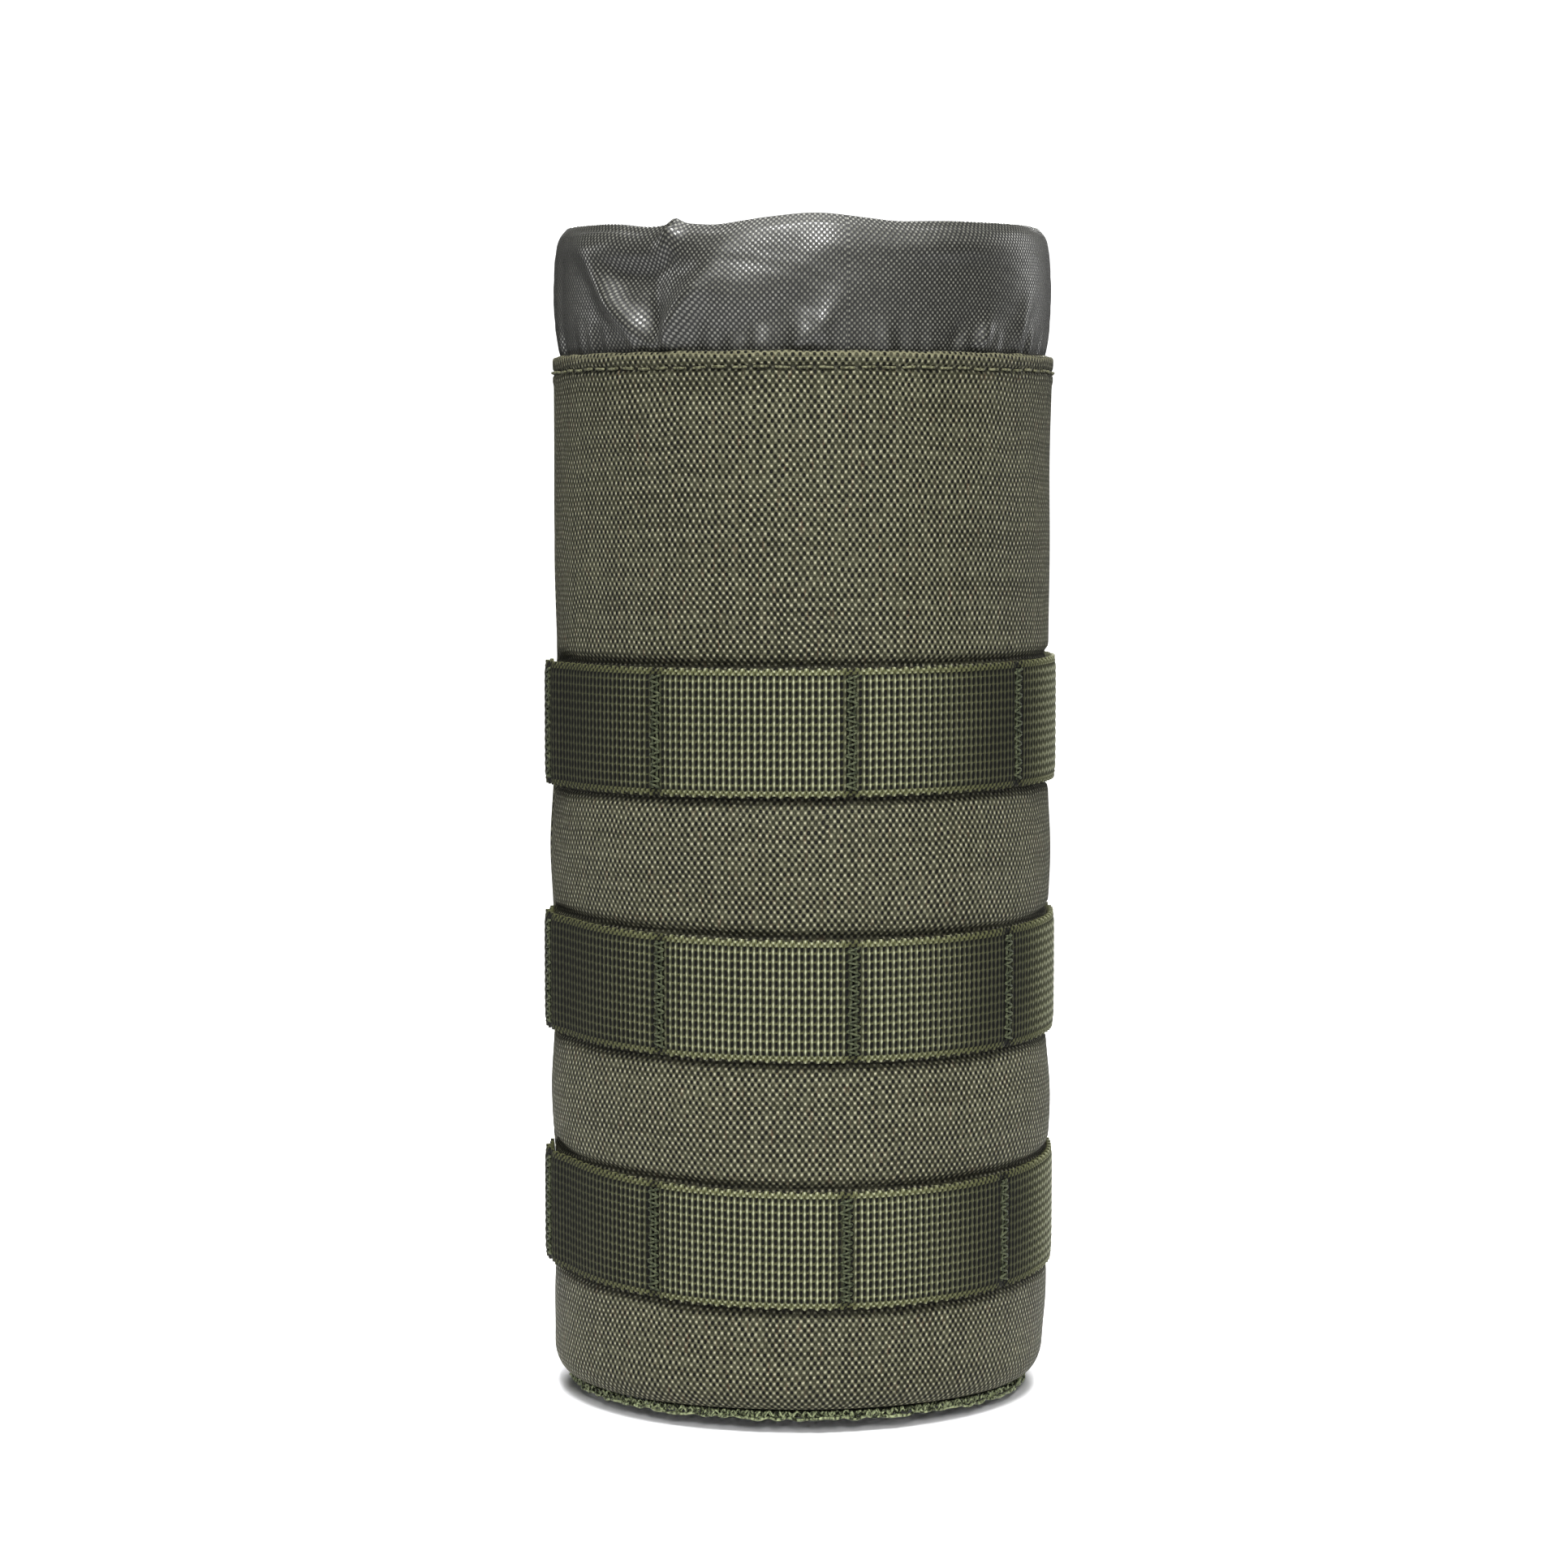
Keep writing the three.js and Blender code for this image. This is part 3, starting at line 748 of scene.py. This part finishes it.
def build_back_rows():
    """The three rows on the back, under the hanging straps, each with three bartacks."""
    radius = SHELL_RADIUS + 0.95
    length = math.radians(2 * BACK_REACH) * radius
    angle = np.linspace(180 - BACK_REACH, 180 + BACK_REACH, round(length / PICK) * 4 + 1)
    for row in ROWS:
        name, node = f"back_webbing_{row}", f"back_row_{row}"
        height = node_box(node)[0][2] + WEBBING_WIDTH / 2
        centre = around(angle, radius - 0.05, height)
        sew_row(name, node, angle, centre, length, WEBBING_WIDTH, list(BACK_TACKS.values()))
        for i, (side, tack) in enumerate(BACK_TACKS.items()):
            middle = around(tack, radius - 0.05, height)
            build_tack(f"back_bartack_{row}_{side}", tack, middle, WEBBING_WIDTH, 900 + 10 * i + len(row))


def build_tack(node, angle, middle, width, seed):
    """A bartack: one thread that zigzags up the tape, sunk a little at each turn, over a loose
    pair of upright threads."""
    rng = np.random.default_rng(seed)
    count = TACK_TURNS * 6 + 1
    t = np.linspace(0, TACK_TURNS, count)
    turns = np.arange(TACK_TURNS + 1)
    zig = 2 * np.abs((t % 2) - 1) - 1
    loose = np.interp(t, turns, rng.normal(0, 0.12, TACK_TURNS + 1))
    sideways = 1.25 * np.sign(zig) * np.abs(zig) ** 0.8 + loose
    climb = np.interp(t, turns, rng.normal(0, 0.16, TACK_TURNS + 1))
    up = (t / TACK_TURNS - 0.5) * (width - 2 * TACK_INSET) + climb
    out = 0.78 - 0.5 * np.abs(zig) ** 4
    threads = [np.stack([sideways, up, out], -1)]
    rail = np.linspace(-0.5, 0.5, count) * (width - 2 * TACK_INSET)
    for k, x in enumerate((-0.55, 0.5)):
        strays = 0.1 * wander(rail / 9, (1, 2), seed + k)
        threads.append(np.stack([x + strays, rail, 0.48 + 0 * rail], -1))
    local = np.stack(threads)
    axes = axes_at(angle)
    lines = local @ axes + middle
    outward = np.broadcast_to(axes[2], lines.shape)
    piece = tubes_piece(node + "_thread", lines, outward, 0.27, TACK_THREAD, 5)
    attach(piece, "pouch")
    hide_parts(node)


# Collar

# Folds of the collar's wall: each one's middle, as an angle from the side that faces the viewer
# and a height above the hem, its slope in degrees, half length, half width and how far it stands out.
COLLAR_FOLDS = [
    (-46, 9.5, -45, 12, 2.8, 2.8),
    (-28, 7.0, 56, 11, 2.6, 3.2),
    (-19, 13.5, 22, 8, 7.0, 2.2),
    (-16, 21.0, 10, 8, 3.0, 0.8),
    (-31, 24.0, 70, 4, 2.2, 1.6),
    (-52, 21.3, 0, 13, 3.0, 1.6),
    (-38, 15.5, 5, 10, 3.8, -2.2),
    (-35.5, 8.0, 90, 6, 2.8, -1.8),
    (8, 26.0, 12, 8, 3.0, 0.5),
    (4, 19.0, 25, 9, 4.0, 0.5),
    (36, 21.0, 0, 17, 3.0, 1.5),
    (30, 8.0, 0, 26, 5.0, -0.7),
    (2, 3.0, 50, 8, 2.6, 1.0),
    (-8, 6.5, 28, 8, 3.0, -1.2),
    (45, 3.0, 55, 4, 1.8, 1.2),
    (38, 3.5, 55, 4, 1.8, -1.0),
    (60, 6.0, 60, 6, 2.6, 0.8),
    (-73, 11.0, 85, 9, 2.8, -0.6),
    (118, 12.0, 50, 12, 4.5, 1.4),
    (155, 12.0, -50, 12, 4.0, 1.3),
    (185, 13.0, 60, 12, 4.5, -1.4),
    (222, 12.0, -55, 12, 4.0, 1.3),
    (256, 12.0, 50, 11, 4.2, -1.1),
]
# The rim's height, as an angle from the side that faces the viewer, a width and a rise.
RIM_WAVES = [
    (3, 10, 1.0),
    (-21, 8, -1.1),
    (-30.5, 1.8, 1.1),
    (-38, 8, -1.1),
    (24, 8, -0.4),
    (75, 25, 0.6),
    (-78, 18, 0.5),
    (160, 14, -0.8),
    (210, 12, 0.7),
    (-100, 14, -0.7),
]
# How many points the wall and the sleeve have round the pouch, how many the wall's outline has,
# and how many of those lie outside the rim's inner edge
COLLAR_COLUMNS = 360
SLEEVE_COLUMNS = 300
WALL_STEPS = 110
OUTER_STEPS = 78


def fold_field(away, height):
    """The sum of the folds: each a smooth hill, long along its slope and narrow across it."""
    total = 0 * (away + height)
    for middle, rise, slope, long, wide, out in COLLAR_FOLDS:
        x = np.radians(turned_away(away, middle)) * SHELL_RADIUS
        turn = math.radians(slope)
        along = x * math.cos(turn) + (height - rise) * math.sin(turn)
        across = (height - rise) * math.cos(turn) - x * math.sin(turn)
        total = total + out * bell(along, 0, long) * bell(across, 0, wide)
    return total


def build_collar():
    """The collar's wall: a line from inside the hem, out over the bulge and over the rolled rim,
    carried round; folds, gathers at the hem and the rim's waves are added to radius and height."""
    angle = np.linspace(0, 360, COLLAR_COLUMNS + 1)[:-1]
    away = turned_away(angle, FACING)
    top = RIM_TOP - HEM_TOP
    knots = [
        (50.6, -7), (50.6, -3), (50.7, -0.5), (51.3, 2), (52.0, 6), (52.35, 11), (52.3, 16),
        (52.0, 20.5), (51.4, 23.7), (50.3, top - 0.7), (49.4, top), (48.6, top - 0.9),
        (48.25, top - 3.5), (48.2, 16),
    ]
    line = smooth_line(knots, WALL_STEPS)
    radius, rise = line[:, :1], line[:, 1:]
    outer = (np.arange(WALL_STEPS) < OUTER_STEPS)[:, None]
    inside_out = np.where(outer, 1.0, 0.35)
    folds = fold_field(away, np.where(outer, rise, top)) * step(rise, 1.0, 1.2) * inside_out
    gathers = wander(angle / 360, (37, 53, 71, 23), 8) * (0.32 * bell(rise, 1.5, 4))
    creases = 0.03 * wander(angle / 360 + rise / 90, (12, 19, 31), 9) * step(rise, 2, 2)
    wave = sum(rise_by * bell(turned_away(away, at), 0, width) for at, width, rise_by in RIM_WAVES)
    height = HEM_TOP + rise + wave * step(rise, 14, 4)
    points = around(angle, radius + folds + gathers + creases, height)
    piece = round_sheet("collar_cloth", line, points, SHELL_RADIUS, COATED, COLLAR_WALL)
    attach(piece, "pouch")
    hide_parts("collar_wall")


def build_sleeve():
    """The tucked part of the collar: up as a gathered sleeve, over the draw channel and down its
    inside, where the channel is sewn."""
    angle = np.linspace(0, 360, SLEEVE_COLUMNS + 1)[:-1]
    outer, inner = SLEEVE_RADIUS, SLEEVE_RADIUS - 2.6
    knots = [
        (outer - 0.1, SLEEVE_LOW), (outer - 0.2, SLEEVE_LOW + 15), (outer - 0.25, CHANNEL_LOW - 0.5),
        (outer, CHANNEL_LOW + 3), (outer - 0.05, CHANNEL_HIGH - 2), (outer - 1.2, CHANNEL_HIGH - 0.2),
        (inner + 0.2, CHANNEL_HIGH - 1.8), (inner, CHANNEL_LOW + 3), (inner + 0.9, CHANNEL_LOW),
    ]
    line = smooth_line(knots, 80)
    radius, height = line[:, :1], line[:, 1:]
    gathers = 0.3 * wander(angle / 360 + height / 900, (29, 43, 17), 14)
    points = around(angle, radius + gathers - 0.35, height)
    piece = round_sheet("sleeve_cloth", line, points, outer, COATED, COLLAR_WALL)
    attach(piece, "drawstring_collar")
    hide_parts("collar_sleeve", "draw_channel")


def build_eyelets():
    """Two rolled metal rings in the draw channel."""
    for side, angle in (("left", 188), ("right", 172)):
        low, high = node_box(f"eyelet_{side}")
        inside, flange = SLEEVE_RADIUS - 0.9, SLEEVE_RADIUS + 0.2
        profile = [
            (1.9, inside), (2.3, inside), (2.3, flange), (4.1, flange), (4.2, flange + 0.35),
            (3.2, flange + 0.75), (2.2, flange + 0.6), (1.9, flange + 0.2), (1.9, inside),
        ]
        middle = (low[2] + high[2]) / 2
        piece = turned_piece(f"eyelet_ring_{side}", profile, angle, middle, METAL)
        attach(piece, "drawstring_collar")
        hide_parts(f"eyelet_{side}")


# Drain net

# The floor's radius, and its strands' spacing, wave height and count of points
NET_REACH = 45.6
NET_SPACING = 1.7
NET_WAVE = 0.42
NET_STEPS = 150


def build_net():
    """The net's floor: two sets of wavy strands that touch where their waves meet, in a dish that
    rests flat and rises to its sewn edge."""
    reach, spacing, wave, count = NET_REACH, NET_SPACING, NET_WAVE, NET_STEPS
    at = np.arange(-reach + 0.8, reach, spacing)
    lines = []
    for i, offset in enumerate(at):
        half = math.sqrt(reach**2 - offset**2)
        along = np.linspace(-half, half, count)
        swing = wave * np.sin(along / spacing * PI + PI * (i % 2))
        lines.append(np.stack([along, offset + swing, 0 * along], -1))
        lines.append(np.stack([offset - swing, along, 0 * along + 0.1], -1))
    lines = np.stack(lines)
    out = np.hypot(lines[..., 0], lines[..., 1])
    lines[..., 2] += 0.25 + lift_net(lines, out)
    up = np.broadcast_to([0.0, 0.0, 1.0], lines.shape)
    # The floor's strands use the net yarn painted near black, as painted shade.
    piece = tubes_piece("net_floor", lines, up, 0.22, NET_SHADE_YARN, 4)
    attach(piece, "pouch")
    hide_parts("bottom_net")


def lift_net(points, out):
    """The dish's rise towards its rim, which follows the sewn edge's height."""
    angle = np.degrees(np.arctan2(points[..., 0], -points[..., 1]))
    return np.clip((out - 33) / 13, 0, 1) ** 1.5 * (lift(angle) + 0.4)


# The net's edge strands: each one's radius, rise, count of waves, swing and thickness
EDGE_STRANDS = [
    (48.4, -0.35, 77, 0.12, 0.36),
    (48.2, 0.45, 163, 0.55, 0.24),
    (48.0, 0.5, 149, -0.5, 0.24),
    (47.2, 0.2, 97, 0.4, 0.3),
]


def build_net_edge():
    """The net's raw seam allowance: rings of strands that swing up and down against each other, so
    that they leave small ragged eyes, standing out under the shell's edge."""
    angle = np.linspace(0, 360, 1401)[:-1]
    share = angle / 360
    rings = []
    for k, (out, rise, waves, swing, _) in enumerate(EDGE_STRANDS):
        ragged = 0.2 * wander(share, (13, 31, 57), 20 + k)
        sway = swing * np.sin(share * TAU * waves) + ragged
        radius = out + 0.2 * np.sin(share * TAU * waves + 1.5) + 0.35 * wander(share, (7, 19), 30 + k)
        rings.append(around(angle, radius, lift(angle) + rise + sway))
    lines = np.stack(rings)
    lines[..., 0] += lean(0)
    lines[..., 2] = np.maximum(lines[..., 2], 0.35)
    thick = np.array(EDGE_STRANDS)[:, 4:] + 0.05 * wander(share, (41, 83), 40)
    outward = around(angle, 1, 0)[None] + 0 * lines
    piece = tubes_piece("net_seam_edge", lines, outward, thick, NET_YARN, 6, True)
    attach(piece, "pouch")
    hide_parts("net_edge")


# Back straps

# How far from the centre line a strap's inner face and an anchor's middle lie, and the radius of
# a strap's lowest corners
STRAP_INNER = 54.9
ANCHOR_DISTANCE = 55.35
STRAP_CORNER = 5.0
# The faces that a snap's cap, socket and stud stand on, as distances from the centre line
SNAP_FACES = (56.55, 54.55, 52.95)


def strap_frame(angle, count):
    """The outward and sideways directions at a strap, repeated for each point."""
    sideways, _, outward = axes_at(angle)
    return np.broadcast_to(outward, (count, 3)), np.broadcast_to(sideways, (count, 3))


def build_straps():
    """Each strap hangs from under its sewn anchor, close over the rows, and eases out to its snap."""
    for side, angle in STRAP_ANGLES.items():
        top = STRAP_HIGH + 6
        length = top - STRAP_LOW
        count = round(length / PICK) * 4 + 1
        height = np.linspace(STRAP_LOW, top, count)
        outward, sideways = strap_frame(angle, count)
        distance = STRAP_INNER + 0.75 - 0.35 * bell(height, 90, 55) + 0.1 * wander(height / 180, (2, 3), 50)
        centre = outward * distance[:, None]
        centre[:, 2] = height
        piece = tape_piece(
            f"strap_{side}", centre, outward, sideways, length, WEBBING_WIDTH, both=True, rib_steps=4
        )
        round_strap_end(piece, angle)
        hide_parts(f"back_strap_{side}")
        start = centre[-1].copy()
        start[2] = STRAP_HIGH + 1.5
        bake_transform(piece)
        build_anchor(side, angle)
        build_snap(side, angle)


def round_strap_end(piece, angle):
    """Draws the strap's lowest corners in to a rounded end: the sides follow a quarter circle."""
    points = np.zeros(len(piece.data.vertices) * 3)
    piece.data.vertices.foreach_get("co", points)
    points = points.reshape(-1, 3) / MM
    sideways = axes_at(angle)[0]
    across = points @ sideways
    below = np.clip((STRAP_LOW + STRAP_CORNER - points[:, 2]) / STRAP_CORNER, 0, 1)
    most = WEBBING_WIDTH / 2 - STRAP_CORNER * (1 - np.sqrt(1 - below**2))
    held = across * most / (WEBBING_WIDTH / 2)
    points += (held - across)[:, None] * sideways
    piece.data.vertices.foreach_set("co", (points * MM).ravel())
    piece.data.update()


def build_anchor(side, angle):
    """The strap's sewn top: a short tape over the strap's end, held by a stitched box and cross."""
    low = STRAP_HIGH + 0.4
    length = ANCHOR_HIGH - low
    count = round(length / PICK) * 4 + 1
    height = np.linspace(low, ANCHOR_HIGH, count)
    outward, sideways = strap_frame(angle, count)
    centre = outward * ANCHOR_DISTANCE
    centre[:, 2] = height
    piece = tape_piece(
        f"strap_top_{side}", centre, outward, sideways, length, WEBBING_WIDTH, both=True, rib_steps=4
    )
    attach(piece, "pouch")
    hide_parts(f"strap_anchor_{side}")
    width, tall = WEBBING_WIDTH / 2 - 3, length / 2 - 2.5
    box = [(-1, -1), (1, -1), (1, 1), (-1, 1), (-1, -1), (1, 1), (1, -1), (-1, 1)]
    lines = []
    for (x0, y0), (x1, y1) in zip(box, box[1:]):
        steps = max(2, round(math.hypot((x1 - x0) * width, (y1 - y0) * tall) / 2.6))
        for k in range(steps):
            share = (k + np.linspace(0.08, 0.92, 7)) / steps
            x, y = (x0 + (x1 - x0) * share) * width, (y0 + (y1 - y0) * share) * tall
            bow = 0.35 * np.sin(np.linspace(0, PI, 7))
            lines.append(np.stack([x, y, 0.62 + bow], -1))
    local = np.stack(lines)
    axes = axes_at(angle)
    middle = axes[2] * ANCHOR_DISTANCE + np.array([0, 0, (low + ANCHOR_HIGH) / 2])
    stitches = tubes_piece(
        f"strap_box_stitch_{side}", local @ axes + middle, axes[2] + 0 * local, 0.3, STITCH_THREAD, 5
    )
    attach(stitches, "pouch")


def build_snap(side, angle):
    """The snap's cap, socket and stud, each turned about the snap's axis."""
    base, back, flange = SNAP_FACES
    cap = [
        (0, base - 1.2), (2, base - 1.2), (2, base), (5.9, base), (6.3, base + 0.25), (6.2, base + 0.7),
        (5.4, base + 1.2), (4.6, base + 1.3), (4.2, base + 1.15), (3.4, base + 1.5), (0, base + 1.75),
    ]
    socket = [
        (3.3, back - 1.1), (5, back - 1.1), (5.6, back - 0.7), (5.6, back), (3.3, back), (3.3, back - 1.1)
    ]
    stud = [
        (0, flange - 1), (2, flange - 1), (2, flange), (5, flange), (4.8, flange + 0.3),
        (2.6, flange + 0.35), (2.55, flange + 0.7), (3, flange + 1.1), (2.7, flange + 1.5),
        (0, flange + 1.6),
    ]
    for part, profile, body in (
        ("cap", cap, f"{side}_strap"), ("socket", socket, f"{side}_strap"), ("stud", stud, "pouch")
    ):
        piece = turned_piece(f"{part}_{side}", profile, angle, SNAP_HEIGHT, METAL)
        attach(piece, body)
        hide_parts(f"snap_{part}_{side}")


def finish_carried_nodes():
    """The seam bindings inside the pouch keep their CAD shape and get the tape's finish."""
    r = Recipe("binding_tape")
    place = r.place()
    rib = r.noise(place, 1500, 2, (1, 1, 0.2))
    colour = r.mix(rib, rgb(0.05, 0.055, 0.03), rgb(0.12, 0.125, 0.08))
    material = r.finish(colour, 0.6, r.bump(rib, 0.0002, 0.6), Sheen_Weight=0.15)
    for side in ("left", "right"):
        for material_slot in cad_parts[f"seam_binding_{side}"].material_slots:
            material_slot.material = material


# Studio


# The soft lights: place, the point each shines at, size, all in metres, and power in watts.
LIGHTS = {
    "overhead": ((0.0, 0.15, 1.2), (0, 0, 0), (1.0, 0.8), 7),
    "high_front": ((-0.1, -0.80, 1.3), (0, 0, 0.10), (0.45, 0.3), 23),
    "low_front": ((-0.12, -1.4, 0.78), (0, 0, 0.08), (0.3, 0.35), 15),
    "right": ((1.0, 0.5, 0.4), (0, 0, 0.10), (0.3, 0.9), 2.8),
    "left": ((-1.05, 0.45, 0.35), (0, 0, 0.10), (0.3, 0.7), 2.6),
    "back": ((0.3, 1.4, 0.8), (0, 0, 0.12), (0.7, 0.5), 26),
}


def add_light(name, place, aim, size, power):
    """A rectangular soft light at a place in metres, turned to shine at a point."""
    data = bpy.data.lights.new(name, "AREA")
    data.shape = "RECTANGLE"
    data.size, data.size_y = size
    data.energy = power
    light = add_object(name, data)
    light.location = place
    light.rotation_mode = "QUATERNION"
    light.rotation_quaternion = (Vector(aim) - Vector(place)).to_track_quat("-Z", "Y")


def build_floor():
    """White paper under the pouch, which fades out into the white room round it."""
    far = 6.0
    corners = [(-far, -far, 0), (far, -far, 0), (far, far, 0), (-far, far, 0)]
    floor = bpy.data.meshes.new("floor")
    floor.from_pydata(corners, [], [(0, 1, 2, 3)])
    paper = Recipe("white_paper")
    grain = paper.noise(paper.place(), 900, 2)
    tone = paper.mix(grain, rgb(0.88, 0.88, 0.90), rgb(0.91, 0.91, 0.93))
    away = paper.tree.nodes.new("ShaderNodeVectorMath")
    away.operation = "LENGTH"
    paper.put(away.inputs[0], paper.place())
    fade = paper.spread(away.outputs["Value"], *FLOOR_FADE, 1.0, 0.0)
    paper.put(paper.shader.inputs["Alpha"], fade)
    floor.materials.append(paper.finish(tone, 0.8, paper.bump(grain, 0.0001, 0.1)))
    add_object("floor", floor)


def build_room():
    """The room round the pouch: it is seen as plain white, and gives little light itself."""
    world = bpy.data.worlds.new("white_room")
    world.use_nodes = True
    nodes, links = world.node_tree.nodes, world.node_tree.links
    room = nodes["Background"]
    room.inputs["Color"].default_value = rgb(1, 1, 1)
    room.inputs["Strength"].default_value = ROOM_LIGHT
    seen = nodes.new("ShaderNodeBackground")
    seen.inputs["Color"].default_value = rgb(1, 1, 1)
    seen.inputs["Strength"].default_value = ROOM_SEEN
    mix = nodes.new("ShaderNodeMixShader")
    links.new(nodes.new("ShaderNodeLightPath").outputs["Is Camera Ray"], mix.inputs[0])
    links.new(room.outputs[0], mix.inputs[1])
    links.new(seen.outputs[0], mix.inputs[2])
    links.new(mix.outputs[0], nodes["World Output"].inputs["Surface"])
    bpy.context.scene.world = world


def build_studio():
    """The floor, the room, the lights and the picture's brightness."""
    build_floor()
    build_room()
    for name, light in LIGHTS.items():
        add_light(name, *light)
    view = bpy.context.scene.view_settings
    view.view_transform = "Standard"
    view.look = "None"
    view.exposure = EXPOSURE
    view.gamma = GAMMA


def build_camera():
    """The camera looks a little down at the pouch's front, from the left of it."""
    turn = math.radians(CAMERA_ANGLE)
    data = bpy.data.cameras.new("camera")
    data.lens = LENS
    data.sensor_width = 36
    data.clip_start, data.clip_end = 0.05, 20
    camera = add_object("camera", data)
    distance = CAMERA_DISTANCE * MM
    camera.location = (math.sin(turn) * distance, -math.cos(turn) * distance, CAMERA_HEIGHT * MM)
    camera.rotation_euler = (math.radians(90 - CAMERA_DOWN), 0, math.radians(CAMERA_ANGLE + CAMERA_TURN))
    bpy.context.scene.camera = camera


build_camera()
build_studio()
build_shell()
build_lining()
build_topstitch()
build_rows()
build_back_rows()
build_collar()
build_sleeve()
build_eyelets()
build_net()
build_net_edge()
build_straps()
finish_carried_nodes()
